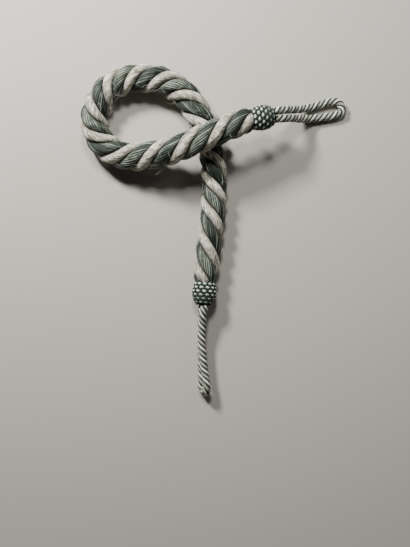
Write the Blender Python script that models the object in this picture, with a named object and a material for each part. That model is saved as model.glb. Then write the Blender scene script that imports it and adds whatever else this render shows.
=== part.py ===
"""Curtain tieback: a thick four-strand rope with a woven knot and a thin cord loop at each end.

It lies loosely coiled, as it was put down: one ring, with the near end on top of the far end.
Metres, +Z up. It rests on z = 0, and the origin is under the middle of its box.
"""

import math

import bpy
import numpy as np

MM = 0.001
GAP = 0.3 * MM                 # clearance between pieces that touch
UP = np.array([0.0, 0.0, 1.0])

# ---- rope: two narrow cream strands and two wider green ones, laid up to the left ----
CREAM_CROWN = 12.6 * MM        # rope's axis to the crown of a cream strand
GREEN_CROWN = 12.3 * MM        # the same for a green strand
GROOVE = 9.9 * MM              # rope's axis to the groove between two strands
CREAM_HALF = math.radians(43)  # half of the angle that a cream strand takes up
GREEN_HALF = math.radians(47)
RING_SPACING = 3.7 * MM        # between the sections that the rope is made of
ROPE_IN_KNOT = 4.0 * MM        # depth to which an end sits in its knot
BOUND_SCALE = 0.585            # an end is bound down to this share of the full thickness
SWELL = 9.0 * MM               # length over which it swells out again, past the knot's mouth
SWELL_STEPS = (0.0, 0.12, 0.3, 0.6, 1.0)
# The rope draws out a little thinner towards its ends.
THICKNESS_PLACES = (0, 60, 110, 290, 345, 420, 480)     # millimetres along the rope
THICKNESS = (0.90, 0.95, 1.0, 1.0, 0.94, 0.91, 0.90)    # share of the full thickness there

# Middle line of the rope as it lies, from the middle of the near knot to that of the far knot.
ROPE_ROUTE = [  # x, y, z in millimetres
    (41.5, 96.9, 33.0),
    (27.1, 93.7, 35.0),
    (11.7, 87.8, 36.2),
    (-5.7, 80.5, 36.0),
    (-23.4, 73.4, 32.9),
    (-41.8, 68.1, 26.3),
    (-60.1, 66.1, 19.4),
    (-77.8, 66.6, 14.5),
    (-92.6, 72.1, 12.4),
    (-102.9, 82.5, 11.9),
    (-107.9, 96.4, 11.9),
    (-105.9, 111.1, 11.9),
    (-97.6, 125.1, 11.9),
    (-84.3, 134.1, 11.9),
    (-66.9, 137.2, 11.9),
    (-49.4, 135.6, 11.9),
    (-35.2, 129.4, 11.9),
    (-23.7, 119.6, 11.8),
    (-15.5, 107.2, 11.6),
    (-9.5, 93.6, 11.4),
    (-4.1, 77.3, 11.2),
    (-0.5, 58.4, 11.1),
    (-0.1, 34.3, 11.0),
    (-1.4, 10.9, 10.9),
    (-4.5, -12.4, 10.8),
    (-7.4, -35.9, 11.2),
    (-9.0, -55.9, 12.0),
]
# How far along that line the same cream strand is on top again, turn after turn, in millimetres.
# The bend of the ring closes the turns up.
CREAM_ON_TOP = [10, 70, 131, 184, 234, 287, 346, 399, 459]

# ---- woven knots: a band knot, its raised dashes in staggered rows ----
KNOT_HALF = 9.6 * MM           # half of its length along the rope
KNOT_RADIUS = 10.6 * MM        # at its widest
KNOT_ROPE_RIM = 8.4 * MM       # outer radius where the rope goes in
KNOT_LOOP_RIM = 7.0 * MM       # outer radius where the cord comes out
ROPE_SOCKET = 7.8 * MM         # radius of the hollow that holds the rope's end
LOOP_SOCKET = 6.3 * MM         # radius of the hollow that holds the loop's two ends
LOOP_IN_KNOT = 3.0 * MM
DASHES_ROUND = 11              # raised dashes in one row
POINTS_PER_DASH = 5
DASH_ROWS = 6
DASH_RISE = 0.5 * MM

# ---- loops: a thin four-strand cord, doubled ----
PALE_HALF = math.radians(36)   # half of the angle that a pale strand takes up
PALE_CROWN = 3.6 * MM          # cord's axis to the crown of a pale strand
GREY_HALF = math.radians(54)
GREY_CROWN = 3.4 * MM
CORD_GROOVE = 2.7 * MM
CORD_LAY = 20.0 * MM           # length of one full turn of the strands
CORD_RING_SPACING = 1.9 * MM
CORD_BOUND = 0.78              # the cord's ends are bound down to this share of its thickness
CORD_SWELL = 9.0 * MM
LOOP_NEAR_HEADING = math.radians(16)
LOOP_FAR_HEADING = math.radians(-97)

# Each loop's two legs, from the knot's face outwards. along: distance in the heading; sway: both
# legs' shift to its left; apart: between the legs; roll: tilt of the line that joins them, in
# degrees, right leg low; height: of the middle between them. Lengths in millimetres.
LOOP_NEAR_STATIONS = [  # along, sway, apart, roll, height
    (-1.9, 0.0, 5.9, 0, 32.2),
    (2.5, 0.0, 6.7, 0, 31.4),
    (7.5, 0.0, 7.3, 0, 29.3),
    (13.0, -0.2, 7.6, 0, 25.3),
    (18.5, -0.4, 8.0, 0, 19.9),
    (24.0, -0.6, 8.6, 0, 14.0),
    (30.0, -0.9, 9.2, 0, 8.6),
    (37.0, -1.4, 10.2, 0, 5.0),
    (45.0, -2.0, 11.4, 0, 3.7),
    (53.0, -2.6, 12.6, 0, 3.5),
    (60.0, -3.1, 12.8, 0, 3.5),
    (65.0, -3.5, 9.8, 0, 3.5),
    (67.3, -3.7, 0.0, 0, 3.5),
]
LOOP_FAR_STATIONS = [
    (-2.2, 0.0, 5.9, 72, 12.3),
    (3.0, 0.0, 6.8, 75, 12.1),
    (8.5, 0.1, 7.3, 79, 11.2),
    (15.0, 0.4, 7.4, 82, 9.4),
    (23.0, 1.0, 7.4, 84, 7.8),
    (33.5, 2.2, 7.4, 84, 7.3),
    (45.0, 4.2, 7.4, 80, 7.2),
    (57.0, 6.5, 7.6, 73, 7.2),
    (67.0, 8.6, 8.6, 66, 7.5),
    (74.6, 10.0, 9.2, 62, 7.6),
    (78.2, 10.7, 7.0, 60, 6.5),
    (79.8, 11.0, 0.0, 60, 5.6),
]

CREAM = (0.56, 0.52, 0.46)
GREEN = (0.085, 0.115, 0.097)
KNOT_GREEN = (0.030, 0.050, 0.040)
CORD_GREY = (0.33, 0.34, 0.30)


def spline(knots, rows, at):
    """Natural cubic spline: the values at the given places of a curve through rows at knots."""
    step = np.diff(knots)
    system = np.eye(len(knots))
    inner = np.arange(1, len(knots) - 1)
    system[inner, inner - 1] = step[:-1]
    system[inner, inner] = 2 * (step[:-1] + step[1:])
    system[inner, inner + 1] = step[1:]
    rise = np.zeros_like(rows)
    rise[1:-1] = 6 * np.diff(np.diff(rows, axis=0) / step[:, None], axis=0)
    bend = np.linalg.solve(system, rise)

    span = np.clip(np.searchsorted(knots, at, side="right") - 1, 0, len(step) - 1)
    before = (at - knots[span])[:, None]
    ahead = (knots[span + 1] - at)[:, None]
    width = step[span][:, None]
    return (
        (bend[span] * ahead**3 + bend[span + 1] * before**3) / (6 * width)
        + (rows[span] / width - bend[span] * width / 6) * ahead
        + (rows[span + 1] / width - bend[span + 1] * width / 6) * before
    )


def smooth_route(points):
    """A fine line on the smooth curve through a route's points, and the distance along it."""
    points = np.asarray(points, float)
    knots = np.append(0.0, np.cumsum(np.linalg.norm(np.diff(points, axis=0), axis=1)))
    line = spline(knots, points, np.linspace(0, knots[-1], 60 * len(points)))
    run = np.append(0.0, np.cumsum(np.linalg.norm(np.diff(line, axis=0), axis=1)))
    return line, run


def frames(line, run, at):
    """Points of the line at the given distances, with unit tangent, upward normal and side."""
    here, behind, ahead = (
        np.stack([np.interp(place, run, line[:, axis]) for axis in range(3)], axis=1)
        for place in (at, np.maximum(at - MM, 0), np.minimum(at + MM, run[-1]))
    )
    tangent = ahead - behind
    tangent /= np.linalg.norm(tangent, axis=1)[:, None]
    side = np.cross(tangent, UP)
    side /= np.linalg.norm(side, axis=1)[:, None]
    return here, tangent, np.cross(side, tangent), side


def lobes(strands, groove):
    """Angles and radii of a laid rope's section: each strand is half an ellipse on the groove.

    strands: rows of (middle angle, half angle, crown radius, places of the points from -1 to 1).
    """
    angles, radii = [], []
    for middle, half, crown, places in strands:
        places = np.array(places)
        angles.append(middle + half * places)
        radii.append(groove + (crown - groove) * np.sqrt(1 - places**2))
    return np.concatenate(angles), np.concatenate(radii)


def sweep(middle, up, side, angles, radii):
    """Rings of points about a line: angles turn from up towards side, one row for each point."""
    return (
        middle[:, None, :]
        + up[:, None, :] * (radii * np.cos(angles))[..., None]
        + side[:, None, :] * (radii * np.sin(angles))[..., None]
    )


def solid(name, rings, start, end, materials, strand_material=None):
    """One closed mesh: rings of points, closed by a fan to a middle point at each end."""
    rings = np.array(rings)
    rings[..., 2] = np.maximum(rings[..., 2], 0.0)        # flat spots where it rests
    count, around = rings.shape[:2]
    verts = np.concatenate([rings.reshape(-1, 3), [start], [end]])
    ring = np.arange(around)
    ahead = (ring + 1) % around
    first = around * np.arange(count - 1)[:, None]
    quads = np.stack([first + ring, first + ahead, first + ahead + around,
                      first + ring + around], axis=-1).reshape(-1, 4)
    last = around * (count - 1)
    start_fan = np.stack([np.full(around, len(verts) - 2), ahead, ring], axis=-1)
    end_fan = np.stack([np.full(around, len(verts) - 1), last + ring, last + ahead], axis=-1)
    faces = quads.tolist() + start_fan.tolist() + end_fan.tolist()

    mesh = bpy.data.meshes.new(name)
    mesh.from_pydata(verts.tolist(), [], faces)
    for material in materials:
        mesh.materials.append(material)
    if strand_material is not None:
        slots = np.zeros(len(faces), dtype=np.int32)
        slots[: len(quads)] = np.tile(strand_material, count - 1)
        mesh.polygons.foreach_set("material_index", slots)
    mesh.shade_smooth()
    mesh.update()
    bpy.context.scene.collection.objects.link(bpy.data.objects.new(name, mesh))


def yarn(name, colour, roughness):
    """A plain material of one colour."""
    made = bpy.data.materials.new(name)
    made.use_nodes = True
    shader = made.node_tree.nodes["Principled BSDF"]
    shader.inputs["Base Color"].default_value = (*colour, 1.0)
    shader.inputs["Roughness"].default_value = roughness
    shader.inputs["Metallic"].default_value = 0.0
    return made


def swollen(share, bound, full):
    """Thickness past a knot: from bound to full in a quarter round, as share goes from 0 to 1."""
    ahead = np.clip(share, 0.0, 1.0)
    return bound + (full - bound) * np.sqrt(ahead * (2 - ahead))


def make_rope(line, run, materials):
    """The rope between the knots, its ends bound down to fit their sockets."""
    mouth = KNOT_HALF + GAP
    end_places = np.append(mouth - ROPE_IN_KNOT, mouth + SWELL * np.array(SWELL_STEPS))
    free = run[-1] - 2 * (end_places[-1] + RING_SPACING)
    inner_places = end_places[-1] + RING_SPACING + np.linspace(0, free, round(free / RING_SPACING))
    at = np.concatenate([end_places, inner_places, run[-1] - end_places[::-1]])
    middle, _, up, side = frames(line, run, at)

    quarter = math.pi / 2
    places = (-1.0, -0.72, -0.25, 0.25, 0.72)
    cream = (CREAM_HALF, CREAM_CROWN, places)
    green = (GREEN_HALF, GREEN_CROWN, places)
    angles, radii = lobes([(0, *cream), (quarter, *green), (2 * quarter, *cream),
                           (3 * quarter, *green)], GROOVE)
    on_top = MM * np.array(CREAM_ON_TOP)
    turns = spline(on_top, np.arange(len(on_top), dtype=float)[:, None], at)[:, 0]
    past_mouth = np.minimum(at, run[-1] - at) - mouth
    thickness = np.interp(at, MM * np.array(THICKNESS_PLACES), THICKNESS)
    scale = swollen(past_mouth / SWELL, BOUND_SCALE, thickness)

    rings = sweep(middle, up, side, angles - 2 * math.pi * turns[:, None], radii * scale[:, None])
    colours = ([0] * len(places) + [1] * len(places)) * 2
    solid("rope", rings, middle[0], middle[-1], materials, colours)


def knot_profile():
    """Place along the knot's axis, radius and height of the dashes, from socket to socket."""
    rows = np.linspace(0, DASH_ROWS, 2 * DASH_ROWS + 1)
    share = 2 * rows / DASH_ROWS - 1
    barrel = KNOT_RADIUS - np.where(share < 0, (KNOT_RADIUS - KNOT_ROPE_RIM) * np.abs(share)**2.4,
                                    (KNOT_RADIUS - KNOT_LOOP_RIM) * np.abs(share)**2.2)
    wave = np.sin(math.pi * rows) * np.sin(math.pi * rows / DASH_ROWS) ** 0.5
    outside = np.stack([KNOT_HALF * share, barrel, DASH_RISE * wave], axis=1)
    rope_side = [(-KNOT_HALF + ROPE_IN_KNOT, ROPE_SOCKET, 0), (-KNOT_HALF, ROPE_SOCKET, 0)]
    loop_side = [(KNOT_HALF, LOOP_SOCKET, 0), (KNOT_HALF - LOOP_IN_KNOT, LOOP_SOCKET, 0)]
    return np.concatenate([rope_side, outside, loop_side])


def make_knot(name, middle, axis, material):
    """A woven knot about a rope's end: its axis points from the rope to the loop."""
    along, radius, rise = knot_profile().T
    side = np.cross(axis, UP)
    side /= np.linalg.norm(side)
    line = middle + axis * along[:, None]
    around = np.linspace(0, 2 * math.pi, POINTS_PER_DASH * DASHES_ROUND, endpoint=False)
    radii = radius[:, None] + rise[:, None] * np.cos(DASHES_ROUND * around)
    rings = sweep(line, np.cross(side, axis)[None], side[None], around[None], radii)
    solid(name, rings, line[0], line[-1], [material])


def loop_route(face, heading, stations):
    """Points of a doubled cord: out along one leg, round the tip and back along the other."""
    along, sway, apart, roll, height = np.array(stations, float).T[:, :, None]
    ahead = np.array([math.cos(heading), math.sin(heading), 0.0])
    left = np.cross(UP, ahead)
    middle = face * (1, 1, 0) + MM * (along * ahead + sway * left + height * UP)
    across = np.cos(np.radians(roll)) * left + np.sin(np.radians(roll)) * UP
    offset = MM * apart / 2 * across
    return np.concatenate([middle - offset, (middle + offset)[-2::-1]])


def make_loop(name, face, heading, stations, material):
    """A hanging loop of four-strand cord."""
    line, run = smooth_route(loop_route(face, heading, stations))
    at = np.linspace(0, run[-1], round(run[-1] / CORD_RING_SPACING))
    middle, _, up, side = frames(line, run, at)
    places = (-1.0, -0.6, 0.0, 0.6)
    pale = (PALE_HALF, PALE_CROWN, places)
    grey = (GREY_HALF, GREY_CROWN, places)
    quarter = math.pi / 2
    angles, radii = lobes([(0, *pale), (quarter, *grey), (2 * quarter, *pale),
                           (3 * quarter, *grey)], CORD_GROOVE)
    turned = 2 * math.pi * at[:, None] / CORD_LAY
    past_mouth = np.minimum(at, run[-1] - at) - LOOP_IN_KNOT
    scale = swollen(past_mouth / CORD_SWELL, CORD_BOUND, 1.0)
    rings = sweep(middle, up, side, angles - turned, radii * scale[:, None])
    solid(name, rings, middle[0], middle[-1], [material])


def main():
    for thing in list(bpy.data.objects):
        bpy.data.objects.remove(thing, do_unlink=True)
    woven = yarn("woven knot", KNOT_GREEN, 0.7)
    cord = yarn("loop cord", CORD_GREY, 0.7)

    line, run = smooth_route(MM * np.array(ROPE_ROUTE))
    make_rope(line, run, [yarn("cream cotton", CREAM, 0.95), yarn("green silk", GREEN, 0.6)])
    ends, tangents, _, _ = frames(line, run, run[[0, -1]])
    outward = tangents * [[-1], [1]]
    faces = ends + KNOT_HALF * outward
    make_knot("knot_near", ends[0], outward[0], woven)
    make_knot("knot_far", ends[1], outward[1], woven)
    make_loop("loop_near", faces[0], LOOP_NEAR_HEADING, LOOP_NEAR_STATIONS, cord)
    make_loop("loop_far", faces[1], LOOP_FAR_HEADING, LOOP_FAR_STATIONS, cord)


main()
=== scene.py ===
"""Curtain tieback: a thick rope of four strands, with a woven knot and a cord loop at each end.

It lies loosely coiled, its near end across its far end. Each surface is worked out with numpy as
a function of two parameters: the distance along a line, and the place round it. Metres, +Z up.
Angles round a line are in radians, from straight up towards the line's side.
"""

import math

import bpy
import numpy as np
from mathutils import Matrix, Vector


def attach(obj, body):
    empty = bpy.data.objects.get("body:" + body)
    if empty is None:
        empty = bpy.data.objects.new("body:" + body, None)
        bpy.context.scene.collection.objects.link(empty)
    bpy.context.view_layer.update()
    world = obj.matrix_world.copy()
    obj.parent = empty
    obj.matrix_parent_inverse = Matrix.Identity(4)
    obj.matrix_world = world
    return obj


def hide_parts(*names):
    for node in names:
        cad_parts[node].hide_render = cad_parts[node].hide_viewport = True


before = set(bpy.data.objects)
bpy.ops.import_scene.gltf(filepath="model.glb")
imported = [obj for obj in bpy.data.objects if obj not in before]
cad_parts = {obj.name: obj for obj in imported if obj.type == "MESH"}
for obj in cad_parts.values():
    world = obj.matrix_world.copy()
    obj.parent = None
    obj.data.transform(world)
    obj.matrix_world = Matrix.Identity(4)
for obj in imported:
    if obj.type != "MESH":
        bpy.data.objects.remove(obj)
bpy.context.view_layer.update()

MM = 0.001
TURN = 2 * math.pi
QUARTER = TURN / 4
UP = np.array([0.0, 0.0, 1.0])
FINE = 60                           # steps of a fine line for each point of its route

# ---- view: straight down on the coil ----
FRAME_HEIGHT = 547                  # pixels
PIXEL = 0.90 * MM                   # width of one pixel at the height of the rope
VIEW_MIDDLE = (-8.2 * MM, -38.4 * MM)
CAMERA_HEIGHT = 612 * MM
ROPE_HEIGHT = 12 * MM               # of the rope's middle, where it lies

# ---- rope ----
# Middle line as it lies, from the middle of the near knot to that of the far knot.
ROPE_ROUTE = MM * np.array([
    (41.5, 96.9, 33.0), (27.1, 93.7, 35.0), (11.7, 87.8, 36.2), (-5.7, 80.5, 36.0),
    (-23.4, 73.4, 32.9), (-41.8, 68.1, 26.3), (-60.1, 66.1, 19.4), (-77.8, 66.6, 14.5),
    (-92.6, 72.1, 12.4), (-102.9, 82.5, 11.9), (-107.9, 96.4, 11.9), (-105.9, 111.1, 11.9),
    (-97.6, 125.1, 11.9), (-84.3, 134.1, 11.9), (-66.9, 137.2, 11.9), (-49.4, 135.6, 11.9),
    (-35.2, 129.4, 11.9), (-23.7, 119.6, 11.8), (-15.5, 107.2, 11.6), (-9.5, 93.6, 11.4),
    (-4.1, 77.3, 11.2), (-0.5, 58.4, 11.1), (-0.1, 34.3, 11.0), (-1.4, 10.9, 10.9),
    (-4.5, -12.4, 10.8), (-7.4, -35.9, 11.2), (-9.0, -55.9, 12.0),
])
# Distances along that line at which the same cream strand is on top again, turn after turn.
CREAM_ON_TOP = MM * np.array([10, 70, 131, 184, 234, 287, 346, 399, 459.0])
ROPE_RING_SPACING = 2.2 * MM
ROPE_GROOVE = 7.4 * MM              # rope's axis to the line where two strands touch
ROPE_CORE = 2.2 * MM                # rope's axis to the inner edge of a strand
CREAM_HALF = math.radians(43)       # half of the angle that a cream strand takes up
CREAM_CROWN = 12.6 * MM
GREEN_HALF = math.radians(47)
GREEN_CROWN = 12.3 * MM
YARNS_ROUND = 35                    # yarns in each radian that a strand takes up
YARN_LEAN = 0.17                    # share of the strands' own lean that the yarns keep
YARN_COLUMNS = (2, 4)               # columns of faces across a cream and a green yarn
YARN_RELIEF = (0.14 * MM, 0.42 * MM)
ROPE_SEED = 10
ROPE_IN_KNOT = 3.7 * MM
BOUND_SCALE = 0.585                 # an end is bound down to this share of its thickness
SWELL = 9.0 * MM                    # length over which it swells out again
# The rope draws out a little thinner towards its ends.
THICKNESS_PLACES = MM * np.array([0, 60, 110, 290, 345, 420, 480])
THICKNESS = (0.90, 0.95, 1.0, 1.0, 0.94, 0.91, 0.90)

# ---- uneven lay of every strand ----
STRAND_OVERLAP = 1.02               # a strand spreads to this share of its half angle
SHORT_LUMP = 2.2 * MM               # lengths over which a strand swells and thins again
LONG_LUMP = 7 * MM
LUMPS_ROUND = 2.5                   # waves of a short lump round the strand
LUMP_RISE = 0.035                   # of a lump, for a strand 1 mm deep; it grows as the root of that
YARN_RUN = 9 * MM                   # length over which a yarn stands proud and sinks again
YARN_UNEVEN = 0.35                  # how much its relief changes by that
YARN_BED = 0.6                      # share of a yarn's relief that lies inside the strand
SEED_STEP = 5                       # between the random seeds of two strands

# ---- loose hairs on the rope ----
HAIRS = 170
HAIR_SEED = 8
HAIR_RADIUS = 0.09 * MM
HAIR_ROOT = 11.3 * MM               # rope's axis to a hair's root
HAIR_STRETCH = (0.06, 0.95)         # part of the rope that has hairs
HAIR_SIDE = 1.7                     # a root lies at most this angle from the top of the rope
HAIR_SWING = 3                      # and the hair turns at most this far from the rope's heading
HAIR_LENGTH = (5, 15)               # millimetres
HAIR_CURL = 1.6                     # angle that it bends through along its length, at most
HAIR_LIFT = (0.15, 0.5)             # height of its arch, against its length
HAIR_ARCH = 2.6                     # angle of the sine wave that its arch follows
HAIR_TAPER = 0.6                    # share of its thickness that it loses by its tip
HAIR_POINTS = 8
HAIR_LOWEST = 0.3 * MM

# ---- woven knots ----
KNOT_HALF = 9.6 * MM                # half of its length along the rope
KNOT_RADIUS = 10.6 * MM             # at its widest
KNOT_ROPE_RIM = 8.4 * MM            # outer radius where the rope goes in
KNOT_LOOP_RIM = 7.0 * MM            # outer radius where the cord comes out
ROPE_SOCKET = 7.8 * MM              # radius of the hollow that holds the rope's end
LOOP_SOCKET = 6.3 * MM              # radius of the hollow that holds the loop's two ends
ROPE_SOCKET_DEPTH = 4 * MM
LOOP_SOCKET_DEPTH = 0.8 * MM
SOCKET_WALL = 0.3 * MM
CORE_BED = 1.4 * MM                 # the core lies this far inside the knot's outside
CORE_RINGS = 29
CORE_COLUMNS = 64
WEAVE_ROWS = 6
WEAVE_ROUND = 22                    # braids each way round the knot, every other rightward one pale
BRAIDS = {                          # half width, half thickness, rise and fall
    "pale": (1.45 * MM, 0.80 * MM, 0.62 * MM),
    "rightward": (1.20 * MM, 0.60 * MM, 0.50 * MM),
    "leftward": (1.25 * MM, 0.65 * MM, 0.50 * MM),
}
BRAID_BED = 0.75 * MM               # the braids' middles lie this far inside the knot's outside
BRAID_SWAY = 0.08                   # sideways sway of a braid between two crossings, in places
BRAID_OVERRUN = 0.45                # rows that a braid runs on past each rim
BRAID_SKEW = 0.6                    # how far the width of a braid turns square to the knot's axis
BRAID_RINGS = 62
BRAID_COLUMNS = 10
BRAID_YARNS = 8.0                   # yarns round a braid
BRAID_LOOP_END_SHADE_STRETCH = (15 * MM, 25 * MM)  # stretch, from a braid's end at the rope, over which painted shade grows towards the loop end
ROPE_RIM_FALL = 12 * MM             # fall of a braid past the rim, for each half knot that it runs on
LOOP_RIM_FALL = 17 * MM
RIM_TURN = 2.4                      # how soon it turns back along the axis there

# ---- hanging loops: four strands, two of them pale and two grey-green ----
PALE_HALF = math.radians(36)        # half of the angle that a pale strand takes up
PALE_CROWN = 3.65 * MM
GREY_HALF = math.radians(54)
GREY_CROWN = 3.5 * MM
CORD_GROOVE = 2.45 * MM
CORD_CORE = 0.5 * MM
CORD_LAY = 20.0 * MM                # length of one full turn of the strands
CORD_RING_SPACING = 0.85 * MM
CORD_YARNS = (7, 10)                # yarns round a pale and a grey strand
CORD_YARN_COLUMNS = 3
CORD_RELIEF = 0.20 * MM
CORD_SEED = 40
CORD_BOUND = 0.78                   # the cord's ends are bound down to this share
CORD_SWELL = 9.0 * MM
LOOP_IN_KNOT = 3.0 * MM
# Each loop's two legs, from the knot's face outwards. along: distance in the heading; sway: both
# legs' shift to its left; apart: between the legs; roll: tilt of the line that joins them, in
# degrees, right leg low; height: of the middle between them. Lengths in millimetres.
LOOPS = {
    "near": (math.radians(16), [
        (-1.9, 0.0, 5.9, 0, 32.2), (2.5, 0.0, 6.7, 0, 31.4), (7.5, 0.0, 7.3, 0, 29.3),
        (13.0, -0.2, 7.6, 0, 25.3), (18.5, -0.4, 8.0, 0, 19.9), (24.0, -0.6, 8.6, 0, 14.0),
        (30.0, -0.9, 9.2, 0, 8.6), (37.0, -1.4, 10.2, 0, 5.0), (45.0, -2.0, 11.4, 0, 3.7),
        (53.0, -2.6, 12.6, 0, 3.5), (60.0, -3.1, 12.8, 0, 3.5), (65.0, -3.5, 9.8, 0, 3.5),
        (67.3, -3.7, 0.0, 0, 3.5),
    ]),
    "far": (math.radians(-97), [
        (-2.2, 0.0, 5.9, 72, 12.3), (3.0, 0.0, 6.8, 75, 12.1), (8.5, 0.1, 7.3, 79, 11.2),
        (15.0, 0.4, 7.4, 82, 9.4), (23.0, 1.0, 7.4, 84, 7.8), (33.5, 2.2, 7.4, 84, 7.3),
        (45.0, 4.2, 7.4, 80, 7.2), (57.0, 6.5, 7.6, 73, 7.2), (67.0, 8.6, 8.6, 66, 7.5),
        (74.6, 10.0, 9.2, 62, 7.6), (78.2, 10.7, 7.0, 60, 6.5), (79.8, 11.0, 0.0, 60, 5.6),
    ]),
}

# ---- colours: red, green, blue and opacity ----
CREAM = (0.95, 0.95, 0.82, 1)
CREAM_BLOTCH = (0.56, 0.51, 0.43, 1)
CREAM_DULL_YARN = (0.34, 0.33, 0.27, 1)
# painted shade, on the lines between yarns and down a strand's flanks towards its groove
CREAM_SHADE = (0.14, 0.13, 0.10, 1)
CREAM_DARK_FIBRE = (0.10, 0.095, 0.075, 1)
# painted shade, nearly black, in the groove between two strands
CREAM_GROOVE_SHADE = (0.01, 0.009, 0.007, 1)
GREEN_DARK_YARN = (0.030, 0.042, 0.034, 1)
GREEN_PALE_YARN = (0.32, 0.37, 0.30, 1)
GREEN_CLOUD = (0.05, 0.07, 0.057, 1)
# painted shade on the lines between yarns
GREEN_YARN_GAP_SHADE = (0.004, 0.007, 0.006, 1)
# painted shade, nearly black, in the groove between two strands
GREEN_GROOVE_SHADE = (0.004, 0.005, 0.004, 1)
LOOSE_HAIR = (0.62, 0.60, 0.54, 1)
CORD_DULL_YARN = (0.10, 0.11, 0.09, 1)
# painted shade on the lines between yarns
CORD_YARN_GAP_SHADE = (0.05, 0.055, 0.045, 1)
# painted shade, nearly black, in the groove between two strands
CORD_GROOVE_SHADE = (0.006, 0.008, 0.006, 1)
CORD_SHADED_AND_LIT_TINTS = {                      # edge of the strand in painted shade, its crown with a painted highlight, and the crown's share each way
    "pale": ((0.13, 0.145, 0.115, 1), (0.97, 0.98, 0.90, 1), 0.06),
    "grey": ((0.05, 0.062, 0.048, 1), (0.50, 0.53, 0.44, 1), 0.02),
}
BRAID_TINTS = {                     # light and dark yarns, painted shade at the loop end, roughness
    "pale": ((0.92, 0.96, 0.86, 1), (0.28, 0.36, 0.28, 1), (0.07, 0.10, 0.08, 1), 0.45),
    "dark": ((0.008, 0.016, 0.012, 1), (0.024, 0.041, 0.031, 1), (0.030, 0.046, 0.037, 1), 0.6),
}
# painted shade where a braid dips under another
BRAID_SHADE = (0.010, 0.015, 0.012, 1)
CORE_TINTS = ((0.012, 0.020, 0.015, 1), (0.04, 0.06, 0.05, 1))
FLOOR_TINTS = ((0.445, 0.42, 0.385, 1), (0.465, 0.44, 0.405, 1))

# ---- stage ----
FLOOR_HALF = 3.0
LIGHTS = {                          # place, aim, width, watts, tint
    "key": ((-0.36, 0.50, 0.44), (-0.03, 0.06, 0), 0.12, 10.5, (1.0, 0.98, 0.94)),
    "top": ((-0.04, 0.50, 0.66), (0, 0.05, 0), 0.16, 4.6, (1.0, 0.985, 0.95)),
    "side": ((0.60, 0.45, 0.50), (0, 0, 0), 0.25, 1.0, (1.0, 0.985, 0.95)),
}
FILL_TINT = (0.9, 0.92, 0.95, 1)
FILL_STRENGTH = 0.03


# ------------------------------------------------------------------ lines and rings

def spline(knots, rows, at):
    """Natural cubic spline: the values at the given places of a curve through rows at knots.

    Its second derivative goes in a straight line from knot to knot, and is 0 at both ends.
    """
    step = np.diff(knots)
    system = np.eye(len(knots))
    inner = np.arange(1, len(knots) - 1)
    system[inner, inner - 1] = step[:-1]
    system[inner, inner] = 2 * (step[:-1] + step[1:])
    system[inner, inner + 1] = step[1:]
    rise = np.zeros_like(rows)
    rise[1:-1] = 6 * np.diff(np.diff(rows, axis=0) / step[:, None], axis=0)
    bend = np.linalg.solve(system, rise)

    span = np.clip(np.searchsorted(knots, at, side="right") - 1, 0, len(step) - 1)
    before = (at - knots[span])[:, None]
    ahead = (knots[span + 1] - at)[:, None]
    width = step[span][:, None]
    return (
        (bend[span] * ahead**3 + bend[span + 1] * before**3) / (6 * width)
        + (rows[span] / width - bend[span] * width / 6) * ahead
        + (rows[span + 1] / width - bend[span + 1] * width / 6) * before
    )


def smooth_route(points):
    """A fine line on the smooth curve through a route's points, and the distance along it."""
    knots = np.append(0.0, np.cumsum(np.linalg.norm(np.diff(points, axis=0), axis=1)))
    line = spline(knots, points, np.linspace(0, knots[-1], FINE * len(points)))
    run = np.append(0.0, np.cumsum(np.linalg.norm(np.diff(line, axis=0), axis=1)))
    return line, run


def points_at(line, run, at):
    """Points of the line at the given distances along it."""
    return np.stack([np.interp(at, run, line[:, axis]) for axis in range(3)], axis=-1)


def frames(line, run, at):
    """Points of the line at the given distances, with unit tangent, upward normal and side.

    The tangent goes from the point 1 mm behind to the one 1 mm ahead. The side is square to it
    and level, and the normal is square to both.
    """
    tangent = points_at(line, run, np.minimum(at + MM, run[-1])) - points_at(
        line, run, np.maximum(at - MM, 0))
    tangent /= np.linalg.norm(tangent, axis=-1, keepdims=True)
    side = np.cross(tangent, UP)
    side /= np.linalg.norm(side, axis=-1, keepdims=True)
    return points_at(line, run, at), tangent, np.cross(side, tangent), side


def smooth_noise(x, y, seed):
    """Even, gentle noise, mostly from -1 to 1: sine waves of random heading, pace and phase.

    x and y are in radians for a middling wave, whose length varies by a factor of 2.
    """
    waves = 7
    draw = np.random.default_rng(seed)
    heading = draw.uniform(0, TURN, waves)
    pace = draw.uniform(0.7, 1.5, waves)
    phase = draw.uniform(0, TURN, waves)
    total = sum(
        np.sin(p * (x * math.cos(h) + y * math.sin(h)) + f)
        for h, p, f in zip(heading, pace, phase)
    )
    return total / math.sqrt(waves)


# ------------------------------------------------------------------ meshes

def tube(points, here, ahead, finish, sunk):
    """A closed tube's arrays. points: rings of points, one ring after another.

    here and ahead: pattern coordinates at the first and the second edge of each column of faces.
    sunk: how deep each point lies, 0 at a crown and 1 in a groove. A fan closes each end.
    """
    rings, around = points.shape[:2]
    column = np.arange(around)
    beside = (column + 1) % around
    first = around * np.arange(rings - 1)[:, None]
    quads = np.stack([first + column, first + beside, first + beside + around,
                      first + column + around], axis=-1).reshape(-1, 4)
    corners = np.stack([here[:-1], ahead[:-1], ahead[1:], here[1:]], axis=2).reshape(-1, 2)
    last = around * (rings - 1)
    fans = np.concatenate([
        np.stack([np.full(around, rings * around), beside, column], axis=-1),
        np.stack([np.full(around, rings * around + 1), last + column, last + beside], axis=-1),
    ])
    return {
        "points": np.concatenate([points.reshape(-1, 3), points[[0, -1]].mean(axis=1)]),
        "quads": quads,
        "fans": fans,
        "corners": np.concatenate([corners, np.zeros((3 * len(fans), 2))]),
        "sunk": np.append(sunk.ravel(), [1.0, 1.0]),
        "finish": finish,
    }


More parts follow.
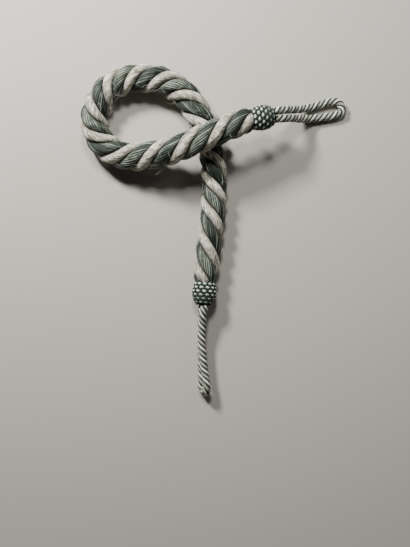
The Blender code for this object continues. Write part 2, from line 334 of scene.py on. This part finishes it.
def piece(name, tubes, finishes):
    """One object made of closed tubes, each with one of the finishes."""
    mesh = bpy.data.meshes.new(name)
    start = np.append(0, np.cumsum([len(part["points"]) for part in tubes]))
    points = np.concatenate([part["points"] for part in tubes])
    numbers = np.concatenate([
        np.append((part["quads"] + shift).ravel(), (part["fans"] + shift).ravel())
        for part, shift in zip(tubes, start)
    ])
    sizes = np.concatenate([
        np.repeat([4, 3], [len(part["quads"]), len(part["fans"])]) for part in tubes
    ])
    finish = np.concatenate([
        np.full(len(part["quads"]) + len(part["fans"]), part["finish"]) for part in tubes
    ])
    mesh.vertices.add(len(points))
    mesh.vertices.foreach_set("co", points.astype(np.float32).ravel())
    mesh.loops.add(len(numbers))
    mesh.loops.foreach_set("vertex_index", numbers.astype(np.int32))
    mesh.polygons.add(len(sizes))
    mesh.polygons.foreach_set("loop_start", (np.cumsum(sizes) - sizes).astype(np.int32))
    mesh.polygons.foreach_set("material_index", finish.astype(np.int32))
    mesh.update(calc_edges=True)
    mesh.uv_layers.new(name="lay").data.foreach_set(
        "uv", np.concatenate([part["corners"] for part in tubes]).astype(np.float32).ravel())
    mesh.attributes.new("sunk", "FLOAT", "POINT").data.foreach_set(
        "value", np.concatenate([part["sunk"] for part in tubes]).astype(np.float32))
    for material in finishes:
        mesh.materials.append(material)
    mesh.shade_smooth()
    made = bpy.data.objects.new(name, mesh)
    bpy.context.scene.collection.objects.link(made)
    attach(made, "root")
    return made


def strand(rail, at, turned, shape, yarns, per_yarn, relief, follow, finish, seed, scale):
    """One strand of a laid rope or cord, as a closed tube whose columns follow its yarns.

    place goes once round the strand, 0 at its crown: angle about the rope's axis = middle +
    half * sin(place) - turned, and radius = groove + height * cos(place), where height is up to
    the crown outside and down to the core inside. Gentle lumps and each yarn's rounded ridge go
    on top of that, and all of it is multiplied by scale. It is pressed flat where it rests.
    """
    middle, half, crown, groove, core = shape
    here, _, up, side = frames(*rail, at)
    column = np.arange(yarns * per_yarn)
    yarn = column / per_yarn
    place = TURN * yarn / yarns + follow[:, None]
    outer = np.cos(place)
    reach = np.where(outer > 0, crown - groove, groove - core)
    radius = groove + reach * outer
    radius += LUMP_RISE * math.sqrt((crown - core) * MM) * (
        smooth_noise(at[:, None] / SHORT_LUMP, LUMPS_ROUND * place, seed)
        + smooth_noise(at[:, None] / LONG_LUMP, 0.0, seed + 1))
    ridge = 1 - (2 * (yarn % 1) - 1) ** 2
    apart = 5.1 * np.floor(yarn)      # far enough for each yarn to go its own way
    proud = 1 + YARN_UNEVEN * smooth_noise(at[:, None] / YARN_RUN, apart, seed + 2)
    radius += relief * (ridge * proud - YARN_BED)
    radius *= scale[:, None]
    angle = middle + STRAND_OVERLAP * half * np.sin(place) - turned[:, None]
    points = (here[:, None] + up[:, None] * (radius * np.cos(angle))[..., None]
              + side[:, None] * (radius * np.sin(angle))[..., None])
    points[..., 2] = np.maximum(points[..., 2], 0.0)

    along = np.broadcast_to(at[:, None], place.shape)
    pattern = np.stack([along, np.broadcast_to(yarn, place.shape)], axis=-1)
    sunk = np.broadcast_to(np.clip(1 - outer, 0, 1), place.shape)
    return tube(points, pattern, pattern + (0, 1 / per_yarn), finish, sunk)


# ------------------------------------------------------------------ pieces

def swollen(share, bound, full):
    """Thickness past a knot: from bound to full in a quarter round, as share goes from 0 to 1."""
    ahead = np.clip(share, 0.0, 1.0)
    return bound + (full - bound) * np.sqrt(ahead * (2 - ahead))


def make_rope(rail, finishes):
    """The four strands between the knots, their ends bound down to go into the sockets.

    The turn of the lay at each place comes from a curve through the places where the same strand
    is on top. The yarns turn the other way round their strand by most of that, so that they run
    nearly along the rope.
    """
    length = rail[1][-1]
    start = KNOT_HALF - ROPE_IN_KNOT
    at = np.linspace(start, length - start, round((length - 2 * start) / ROPE_RING_SPACING))
    turns = spline(CREAM_ON_TOP, np.arange(len(CREAM_ON_TOP), dtype=float)[:, None], at)[:, 0]
    scale = swollen((np.minimum(at, length - at) - KNOT_HALF) / SWELL, BOUND_SCALE,
                    np.interp(at, THICKNESS_PLACES, THICKNESS))

    tubes = []
    for number in range(4):
        green = number % 2
        half, crown = ((CREAM_HALF, CREAM_CROWN), (GREEN_HALF, GREEN_CROWN))[green]
        shape = (number * QUARTER, half, crown, ROPE_GROOVE, ROPE_CORE)
        yarns = round(YARNS_ROUND * half)
        tubes.append(strand(
            rail, at, TURN * turns, shape, yarns, YARN_COLUMNS[green], YARN_RELIEF[green],
            (1 - YARN_LEAN) * TURN * turns / half, green, ROPE_SEED + SEED_STEP * number, scale))
    rope = piece("rope_laid", tubes, finishes)
    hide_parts("rope")


def make_hairs(rail, material):
    """Loose hairs: thin three-sided tubes that leave the rope's upper side and curl over it.

    From its root, a hair's line is an arc of a circle in the plane that touches the rope there,
    raised outwards by a sine wave.
    """
    draw = np.random.default_rng(HAIR_SEED)
    length = rail[1][-1]
    at = draw.uniform(*HAIR_STRETCH, HAIRS) * length
    here, tangent, up, side = frames(*rail, at)
    angle = draw.uniform(-HAIR_SIDE, HAIR_SIDE, HAIRS)[:, None]
    outward = up * np.cos(angle) + side * np.sin(angle)
    round_rope = side * np.cos(angle) - up * np.sin(angle)
    swing = HAIR_SWING * draw.uniform(-1.0, 1.0, HAIRS)[:, None]
    ahead = tangent * np.cos(swing) + round_rope * np.sin(swing)
    reach = draw.uniform(*HAIR_LENGTH, HAIRS)[:, None, None] * MM
    curl = draw.uniform(-HAIR_CURL, HAIR_CURL, HAIRS)[:, None, None]
    share = np.linspace(0, 1, HAIR_POINTS)[:, None]
    beside = np.cross(outward, ahead)[:, None]
    lift = draw.uniform(*HAIR_LIFT, HAIRS)[:, None, None]
    line = (
        (here + HAIR_ROOT * outward)[:, None]
        + reach * (ahead[:, None] * np.sin(curl * share) / curl
                   + beside * (1 - np.cos(curl * share)) / curl
                   + outward[:, None] * lift * np.sin(HAIR_ARCH * share))
    )
    line[..., 2] = np.maximum(line[..., 2], HAIR_LOWEST)
    around = -TURN * np.arange(3) / 3           # this way round, its faces point outwards
    ring = HAIR_RADIUS * (np.cos(around)[:, None] * outward[:, None, None]
                          + np.sin(around)[:, None] * beside[:, :, None])
    rings = line[:, :, None] + ring * (1.0 - HAIR_TAPER * share[:, None])
    flat = np.zeros((HAIR_POINTS, 3, 2))
    tubes = [tube(hair, flat, flat, 0, np.zeros(flat.shape[:2])) for hair in rings]
    hairs = piece("stray_fibres", tubes, [material])


def loop_route(face, heading, stations):
    """Points of a doubled cord: out along one leg, round the tip and back along the other."""
    along, sway, apart, roll, height = np.array(stations, float).T[:, :, None]
    ahead = np.array([math.cos(heading), math.sin(heading), 0.0])
    left = np.cross(UP, ahead)
    middle = face * (1, 1, 0) + MM * (along * ahead + sway * left + height * UP)
    across = np.cos(np.radians(roll)) * left + np.sin(np.radians(roll)) * UP
    offset = MM * apart / 2 * across
    return np.concatenate([middle - offset, (middle + offset)[-2::-1]])


def make_loop(end, face, finishes):
    """A hanging loop of four-strand cord, both its ends in the knot.

    Its lay turns evenly, once in each CORD_LAY, and its yarns run along its strands.
    """
    rail = smooth_route(loop_route(face, *LOOPS[end]))
    length = rail[1][-1]
    at = np.linspace(0, length, round(length / CORD_RING_SPACING))
    turned = TURN * at / CORD_LAY
    scale = swollen((np.minimum(at, length - at) - LOOP_IN_KNOT) / CORD_SWELL, CORD_BOUND, 1.0)
    tubes = []
    for number in range(4):
        grey = number % 2
        half, crown = ((PALE_HALF, PALE_CROWN), (GREY_HALF, GREY_CROWN))[grey]
        shape = (number * QUARTER, half, crown, CORD_GROOVE, CORD_CORE)
        tubes.append(strand(
            rail, at, turned, shape, CORD_YARNS[grey], CORD_YARN_COLUMNS, CORD_RELIEF,
            np.zeros_like(at), grey, CORD_SEED + SEED_STEP * number, scale))
    loop = piece(f"loop_{end}_cord", tubes, finishes)
    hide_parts(f"loop_{end}")


def knot_profile(row):
    """Place along the knot's axis and outer radius, at a row counted from the rope's rim.

    Between the rims it is a barrel, whose radius falls from the middle as the square of the
    distance. Past them it falls in a straight slope and turns back along the axis.
    """
    row = np.asarray(row, float)
    share = np.clip(2 * row / WEAVE_ROWS - 1, -1, 1)
    rim = np.where(share < 0, KNOT_ROPE_RIM, KNOT_LOOP_RIM)
    barrel = KNOT_RADIUS - (KNOT_RADIUS - rim) * share**2
    over = np.clip(np.abs(2 * row / WEAVE_ROWS - 1) - 1, 0, None)
    along = KNOT_HALF * (share - np.sign(share) * RIM_TURN * over**2)
    return along, barrel - np.where(share < 0, ROPE_RIM_FALL, LOOP_RIM_FALL) * over


def braid(number, lean, row, middle, axes):
    """Middle line of one braid, with the knot's outward normal and the braid's rise along it.

    Going up one row turns it by one place, left or right. Its rise is a cosine wave of one row:
    it rides over at the middle of each row where it leans right, and between the rows where it
    leans left.
    """
    wave = np.cos(TURN * (row - 0.5))
    turn = number + lean * (row - 0.5 + BRAID_SWAY * np.sin(TURN * (row - 0.5)))
    angle = TURN * turn / WEAVE_ROUND
    along, radius = knot_profile(row)
    radius = radius - BRAID_BED
    slope = np.gradient(radius, along)
    axis, up, side = axes
    outward = up * np.cos(angle)[:, None] + side * np.sin(angle)[:, None]
    normal = outward - slope[:, None] * axis
    normal /= np.linalg.norm(normal, axis=1)[:, None]
    here = middle + axis * along[:, None] + outward * radius[:, None]
    return here, normal, lean * wave


def make_knot(end, middle, axis, finishes):
    """A woven cover of pale and dark braids over a dark core, round the rope's end.

    The core is the knot's profile, a little smaller, turned about the axis, with a socket at each
    end. A braid's section is a flat ellipse, its width partly square to the knot's axis.
    """
    side = np.cross(axis, UP)
    side /= np.linalg.norm(side)
    up = np.cross(side, axis)

    row = np.linspace(0, WEAVE_ROWS, CORE_RINGS)
    along, radius = knot_profile(row)
    socket = np.where(row < WEAVE_ROWS / 2, ROPE_SOCKET, LOOP_SOCKET)
    radius = np.maximum(radius - CORE_BED, socket + SOCKET_WALL)
    along = np.concatenate([[-KNOT_HALF + ROPE_SOCKET_DEPTH, -KNOT_HALF], along,
                            [KNOT_HALF - LOOP_SOCKET_DEPTH]])
    radius = np.concatenate([[ROPE_SOCKET, ROPE_SOCKET], radius, [LOOP_SOCKET]])
    angle = np.linspace(0, TURN, CORE_COLUMNS, endpoint=False)
    ring = up * np.cos(angle)[:, None] + side * np.sin(angle)[:, None]
    points = middle + along[:, None, None] * axis + radius[:, None, None] * ring
    flat = np.zeros((*points.shape[:2], 2))
    tubes = [tube(points, flat, flat, 2, np.ones(points.shape[:2]))]

    row = np.linspace(-BRAID_OVERRUN, WEAVE_ROWS + BRAID_OVERRUN, BRAID_RINGS)
    around = np.linspace(0, TURN, BRAID_COLUMNS, endpoint=False)
    for lean in (1, -1):
        for number in range(WEAVE_ROUND):
            kind = "rightward" if lean == 1 else "leftward"
            if kind == "rightward" and number % 2 == 0:
                kind = "pale"
            width, thick, rise = BRAIDS[kind]
            here, normal, wave = braid(number, lean, row, middle, (axis, up, side))
            here = here + normal * (rise * wave)[:, None]
            ahead = np.gradient(here, axis=0)
            ahead /= np.linalg.norm(ahead, axis=1)[:, None]
            across = np.cross(ahead + BRAID_SKEW * axis, normal)
            across /= np.linalg.norm(across, axis=1)[:, None]
            rings = (here[:, None] + normal[:, None] * (thick * np.cos(around))[:, None]
                     + across[:, None] * (width * np.sin(around))[:, None])
            rings[..., 2] = np.maximum(rings[..., 2], 0.0)
            distance = np.append(0, np.cumsum(np.linalg.norm(np.diff(here, axis=0), axis=1)))
            pattern = np.stack(np.broadcast_arrays(distance[:, None], around / TURN), axis=-1)
            sunk = np.broadcast_to(0.5 - 0.5 * wave[:, None], rings.shape[:2])
            tubes.append(tube(rings, pattern, pattern + (0, 1 / BRAID_COLUMNS),
                              int(kind != "pale"), sunk))
    knot = piece(f"knot_{end}_woven", tubes, finishes)
    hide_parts(f"knot_{end}")


# ------------------------------------------------------------------ finishes

def add(tree, kind, inputs=None, **settings):
    """A new shader node with its settings; each input gets a value or a link."""
    made = tree.nodes.new("ShaderNode" + kind)
    for key, value in settings.items():
        setattr(made, key, value)
    for key, value in (inputs or {}).items():
        if isinstance(value, bpy.types.NodeSocket):
            tree.links.new(value, made.inputs[key])
        else:
            made.inputs[key].default_value = value
    return made


def maths(tree, operation, *values):
    """Output of a Math node."""
    return add(tree, "Math", dict(enumerate(values)), operation=operation).outputs[0]


def between(tree, value, low, high, low_to=0.0, high_to=1.0):
    """The value eased from low_to to high_to while it goes from low to high."""
    return add(tree, "MapRange", {0: value, 1: low, 2: high, 3: low_to, 4: high_to},
               interpolation_type="SMOOTHSTEP").outputs[0]


def blend(tree, share, first, second):
    """Colour mixed from the first to the second by share."""
    return add(tree, "Mix", {0: share, 6: first, 7: second}, data_type="RGBA").outputs[2]


def effect(name, inputs, outputs):
    """A new node group, with its input and output nodes."""
    tree = bpy.data.node_groups.new(name, "ShaderNodeTree")
    for label, kind in inputs:
        tree.interface.new_socket(label, in_out="INPUT", socket_type="NodeSocket" + kind)
    for label in outputs:
        tree.interface.new_socket(label, in_out="OUTPUT", socket_type="NodeSocketFloat")
    return tree, tree.nodes.new("NodeGroupInput").outputs, tree.nodes.new("NodeGroupOutput").inputs


def make_yarn_effect():
    """Side by side yarns, each of a few fine threads twisted together.

    In: metres along the strand, the count of yarns round it, the threads in a yarn's width, how
    many of them cross it in each metre, and a seed. Out: Tone, a random value for each yarn,
    drifting along it. Threads, their rounded height. Gap, 0 on the middle of a yarn and 1 on the
    line between two of them, which the materials darken as painted shade.
    """
    drift_pace = 90.0                 # steps of the drift's noise in each metre
    drift_apart = 3.7                 # and from one yarn to the next
    own_share = 0.6                   # of a yarn's own value in its tone, the rest is drift
    tree, given, out = effect("twisted yarns", [
        ("Along", "Float"), ("Yarn", "Float"), ("Threads", "Float"), ("Twist", "Float"),
        ("Seed", "Float")], ["Tone", "Threads", "Gap"])
    number = maths(tree, "FLOOR", given["Yarn"])
    own = add(tree, "TexWhiteNoise", {"W": maths(tree, "ADD", number, given["Seed"])},
              noise_dimensions="1D").outputs["Value"]
    spot = add(tree, "CombineXYZ", {
        0: maths(tree, "MULTIPLY", given["Along"], drift_pace),
        1: maths(tree, "MULTIPLY", number, drift_apart), 2: given["Seed"]})
    drift = add(tree, "TexNoise", {"Vector": spot.outputs[0], "Scale": 1.0, "Detail": 2.0})
    tone = maths(tree, "ADD", maths(tree, "MULTIPLY", own, own_share),
                 maths(tree, "MULTIPLY", drift.outputs["Fac"], 1 - own_share))
    tree.links.new(tone, out["Tone"])
    phase = maths(tree, "ADD", maths(tree, "MULTIPLY", given["Yarn"], given["Threads"]),
                  maths(tree, "MULTIPLY", given["Along"], given["Twist"]))
    tree.links.new(maths(tree, "ABSOLUTE", maths(tree, "SINE", maths(
        tree, "MULTIPLY", phase, math.pi))), out["Threads"])
    off_middle = maths(tree, "ABSOLUTE", maths(tree, "SUBTRACT", maths(
        tree, "FRACT", given["Yarn"]), 0.5))
    tree.links.new(between(tree, off_middle, 0.10, 0.38), out["Gap"])
    return tree


def make_mottle_effect():
    """Uneven dye and loose fibres.

    In: the place, metres along the strand, the count of yarns round it, and how many blotches
    there are in each metre and streaks in each metre and each yarn. Out: Cloud, soft blotches.
    Fibre, short streaks along the yarns.
    """
    tree, given, out = effect("mottled fibre", [
        ("Place", "Vector"), ("Along", "Float"), ("Yarn", "Float"), ("Blotch Scale", "Float"),
        ("Streaks", "Vector")], ["Cloud", "Fibre"])
    cloud = add(tree, "TexNoise", {"Vector": given["Place"], "Scale": given["Blotch Scale"],
                                   "Detail": 4.0, "Roughness": 0.6})
    tree.links.new(cloud.outputs["Fac"], out["Cloud"])
    spot = add(tree, "CombineXYZ", {0: given["Along"], 1: given["Yarn"]}).outputs[0]
    streak = add(tree, "VectorMath", {0: spot, 1: given["Streaks"]}, operation="MULTIPLY")
    fibre = add(tree, "TexNoise", {"Vector": streak.outputs[0], "Scale": 1.0, "Detail": 3.0,
                                   "Roughness": 0.65, "Distortion": 0.6})
    tree.links.new(fibre.outputs["Fac"], out["Fibre"])
    return tree


def finish(name, roughness, sheen, shine=0.5):
    """A new material, with its tree, shader and pattern coordinates."""
    made = bpy.data.materials.new(name)
    made.use_nodes = True
    tree = made.node_tree
    shader = tree.nodes["Principled BSDF"]
    shader.inputs["Roughness"].default_value = roughness
    shader.inputs["Specular IOR Level"].default_value = shine
    shader.inputs["Sheen Weight"].default_value = sheen
    shader.inputs["Sheen Roughness"].default_value = 0.5
    lay = add(tree, "SeparateXYZ", {0: add(tree, "UVMap", uv_map="lay").outputs[0]}).outputs
    sunk = add(tree, "Attribute", attribute_name="sunk").outputs["Fac"]
    place = add(tree, "TexCoord").outputs["Object"]
    return made, tree, shader, lay, sunk, place


def bump(tree, shader, height, distance):
    """Relief from a height that changes over the surface, as deep as distance."""
    made = add(tree, "Bump", {"Height": height, "Distance": distance, "Strength": 1.0})
    tree.links.new(made.outputs[0], shader.inputs["Normal"])


def use(tree, effect_tree, inputs):
    """One of the effects, placed in a material with its own values."""
    return add(tree, "Group", inputs, node_tree=effect_tree).outputs


def cream_felt(yarns, mottle):
    """Soft matt cotton, cream with fine greyish lines of painted shade between its yarns, fibres and
    faint pinkish blotches.

    Over the blotches come duller yarns, painted shade on the lines between the yarns, and dark
    fibres, and last painted shade from a strand's crown into its groove, in two steps.
    """
    made, tree, shader, lay, sunk, place = finish("cream cotton", 0.9, 0.15, 0.2)
    yarn = use(tree, yarns, {"Along": lay["X"], "Yarn": lay["Y"], "Threads": 2.0,
                             "Twist": 500.0, "Seed": 29.0})
    fibre = use(tree, mottle, {"Place": place, "Along": lay["X"], "Yarn": lay["Y"],
                               "Blotch Scale": 260.0, "Streaks": (130.0, 1.5, 0.0)})
    base = blend(tree, between(tree, fibre["Cloud"], 0.40, 0.60), CREAM_BLOTCH, CREAM)
    base = blend(tree, between(tree, yarn["Tone"], 0.35, 0.65, 0.0, 0.45), base, CREAM_DULL_YARN)
    # painted shade on the lines between the yarns
    base = blend(tree, maths(tree, "MULTIPLY", yarn["Gap"], 0.45), base, CREAM_SHADE)
    base = blend(tree, between(tree, fibre["Fibre"], 0.49, 0.56, 0.0, 0.85), base,
                 CREAM_DARK_FIBRE)
    # painted shade, greyer down a strand's flanks from its crown, then nearly black in its groove
    base = blend(tree, between(tree, sunk, 0.05, 0.40, 0.0, 0.45), base, CREAM_SHADE)
    base = blend(tree, between(tree, sunk, 0.35, 0.75, 0.0, 0.97), base, CREAM_GROOVE_SHADE)
    tree.links.new(base, shader.inputs["Base Color"])
    bump(tree, shader, fibre["Fibre"], 0.5 * MM)
    return made


def green_silk(yarns, mottle):
    """Many fine grey-green yarns with a silky sheen, some of them pale, with painted shade between
    them.

    Soft clouds even out the yarns' tones, fibres break up the painted shade on the lines between them
    and change the sheen, and painted shade makes a groove nearly black.
    """
    made, tree, shader, lay, sunk, place = finish("green silk", 0.5, 0.0, 0.3)
    yarn = use(tree, yarns, {"Along": lay["X"], "Yarn": lay["Y"], "Threads": 3.0,
                             "Twist": 700.0, "Seed": 3.0})
    fibre = use(tree, mottle, {"Place": place, "Along": lay["X"], "Yarn": lay["Y"],
                               "Blotch Scale": 120.0, "Streaks": (260.0, 2.6, 0.0)})
    base = blend(tree, between(tree, yarn["Tone"], 0.34, 0.64), GREEN_DARK_YARN, GREEN_PALE_YARN)
    base = blend(tree, between(tree, fibre["Cloud"], 0.45, 0.60, 0.0, 0.6), base, GREEN_CLOUD)
    # painted shade on the lines between yarns, broken up by the fibres
    gap_shade_share = between(tree, fibre["Fibre"], 0.36, 0.54, 0.7, 1.0)
    base = blend(tree, maths(tree, "MULTIPLY", yarn["Gap"], gap_shade_share), base, GREEN_YARN_GAP_SHADE)
    # painted shade, nearly black, in the groove between two strands
    base = blend(tree, between(tree, sunk, 0.3, 0.75, 0.0, 0.97), base, GREEN_GROOVE_SHADE)
    tree.links.new(base, shader.inputs["Base Color"])
    tree.links.new(between(tree, fibre["Fibre"], 0.3, 0.7, 0.42, 0.62), shader.inputs["Roughness"])
    bump(tree, shader, yarn["Threads"], 0.16 * MM)
    return made


def cord_silk(kind, yarns, count):
    """One strand of the loops' cord, of count yarns: the crown's in another colour than the edge's,
    the strand's own pale or grey brightened into a painted highlight on the crown and darkened into
    painted shade at the edge.

    How far a yarn is from the crown, as a share of the way round, decides its colour.
    """
    edge, crown, highlight_share = CORD_SHADED_AND_LIT_TINTS[kind]
    made, tree, shader, lay, sunk, _ = finish(f"{kind} cord silk", 0.5, 0.0, 0.3)
    yarn = use(tree, yarns, {"Along": lay["X"], "Yarn": lay["Y"], "Threads": 2.0,
                             "Twist": 900.0, "Seed": 11.0})
    from_crown = maths(tree, "ABSOLUTE", maths(tree, "SUBTRACT", maths(
        tree, "FRACT", maths(tree, "ADD", maths(tree, "DIVIDE", lay["Y"], count), 0.5)), 0.5))
    # painted highlight on the crown, painted shade towards the edge
    base = blend(tree, between(tree, from_crown, highlight_share, highlight_share + 0.07), crown, edge)
    base = blend(tree, between(tree, yarn["Tone"], 0.25, 0.75, 0.0, 0.25), base, CORD_DULL_YARN)
    # painted shade on the lines between the yarns
    base = blend(tree, maths(tree, "MULTIPLY", yarn["Gap"], 0.35), base, CORD_YARN_GAP_SHADE)
    # painted shade, nearly black, in the groove between two strands
    base = blend(tree, between(tree, sunk, 0.2, 0.65, 0.0, 0.96), base, CORD_GROOVE_SHADE)
    tree.links.new(base, shader.inputs["Base Color"])
    bump(tree, shader, yarn["Threads"], 0.08 * MM)
    return made


def hair_finish():
    """Pale loose fibre."""
    made, _, shader, _, _, _ = finish("loose fibre", 0.6, 0.0)
    shader.inputs["Base Color"].default_value = LOOSE_HAIR
    return made


def braid_silk(kind, yarns):
    """Flat braid of fine threads, with painted shade towards the loop and where it dips under
    another.
    """
    light, dark, loop_end_shade, roughness = BRAID_TINTS[kind]
    made, tree, shader, lay, sunk, _ = finish(f"{kind} braid", roughness, 0.0, 0.25)
    number = maths(tree, "MULTIPLY", lay["Y"], BRAID_YARNS)
    yarn = use(tree, yarns, {"Along": lay["X"], "Yarn": number, "Threads": 1.0,
                             "Twist": 300.0, "Seed": 17.0})
    base = blend(tree, yarn["Tone"], light, dark)
    # painted shade towards the knot's loop end
    base = blend(tree, between(tree, lay["X"], *BRAID_LOOP_END_SHADE_STRETCH, 0.0, 0.75), base, loop_end_shade)
    # painted shade where the braid dips under another
    base = blend(tree, between(tree, sunk, 0.10, 0.5, 0.0, 0.93), base, BRAID_SHADE)
    tree.links.new(base, shader.inputs["Base Color"])
    bump(tree, shader, yarn["Threads"], 0.12 * MM)
    return made


def core_finish():
    """Dark padding, seen only between the braids."""
    made, tree, shader, _, _, place = finish("knot core", 0.9, 0.0, 0.1)
    cloud = add(tree, "TexNoise", {"Vector": place, "Scale": 900.0, "Detail": 3.0})
    base = blend(tree, cloud.outputs["Fac"], *CORE_TINTS)
    tree.links.new(base, shader.inputs["Base Color"])
    bump(tree, shader, cloud.outputs["Fac"], 0.2 * MM)
    return made


def floor_finish():
    """Plain pale paper."""
    made = bpy.data.materials.new("pale floor")
    made.use_nodes = True
    tree = made.node_tree
    place = add(tree, "TexCoord").outputs["Object"]
    cloud = add(tree, "TexNoise", {"Vector": place, "Scale": 3.0, "Detail": 3.0})
    base = blend(tree, cloud.outputs["Fac"], *FLOOR_TINTS)
    shader = tree.nodes["Principled BSDF"]
    tree.links.new(base, shader.inputs["Base Color"])
    shader.inputs["Roughness"].default_value = 0.85
    return made


# ------------------------------------------------------------------ stage

def make_camera():
    """Looks straight down, with the near loop to the right."""
    lens = bpy.data.cameras.new("overhead")
    lens.sensor_fit = "VERTICAL"
    lens.angle = 2 * math.atan(FRAME_HEIGHT * PIXEL / 2 / (CAMERA_HEIGHT - ROPE_HEIGHT))
    lens.clip_start = 10 * MM
    camera = bpy.data.objects.new("overhead", lens)
    camera.location = (*VIEW_MIDDLE, CAMERA_HEIGHT)
    bpy.context.scene.collection.objects.link(camera)
    bpy.context.scene.camera = camera


def softbox(name, place, aim, width, watts, tint):
    """A square area light at a place, turned to its aim."""
    lamp = bpy.data.lights.new(name, "AREA")
    lamp.size = width
    lamp.energy = watts
    lamp.color = tint
    made = bpy.data.objects.new(name, lamp)
    made.location = place
    made.rotation_euler = (Vector(aim) - Vector(place)).to_track_quat("-Z", "Y").to_euler()
    bpy.context.scene.collection.objects.link(made)


def make_stage():
    """A pale floor, soft light from the upper left and from the top, and a weak even fill."""
    mesh = bpy.data.meshes.new("floor")
    mesh.from_pydata([(FLOOR_HALF * x, FLOOR_HALF * y, 0)
                      for x, y in ((-1, -1), (1, -1), (1, 1), (-1, 1))], [], [(0, 1, 2, 3)])
    mesh.materials.append(floor_finish())
    floor = bpy.data.objects.new("floor", mesh)
    bpy.context.scene.collection.objects.link(floor)

    for name, settings in LIGHTS.items():
        softbox(name, *settings)
    world = bpy.data.worlds.new("studio")
    world.use_nodes = True
    background = world.node_tree.nodes["Background"]
    background.inputs["Color"].default_value = FILL_TINT
    background.inputs["Strength"].default_value = FILL_STRENGTH
    bpy.context.scene.world = world


def main():
    """The camera, the rope and its hairs, then a loop and a knot at each end, and the stage."""
    make_camera()
    yarns = make_yarn_effect()
    mottle = make_mottle_effect()
    rail = smooth_route(ROPE_ROUTE)
    make_rope(rail, [cream_felt(yarns, mottle), green_silk(yarns, mottle)])
    make_hairs(rail, hair_finish())

    ends, tangents, _, _ = frames(*rail, rail[1][[0, -1]])
    outward = tangents * [[-1], [1]]
    cord = [cord_silk(kind, yarns, count) for kind, count in zip(CORD_SHADED_AND_LIT_TINTS, CORD_YARNS)]
    braids = [*(braid_silk(kind, yarns) for kind in BRAID_TINTS), core_finish()]
    for end, middle, axis in zip(("near", "far"), ends, outward):
        make_loop(end, middle + KNOT_HALF * axis, cord)
        make_knot(end, middle, axis, braids)
    make_stage()


main()
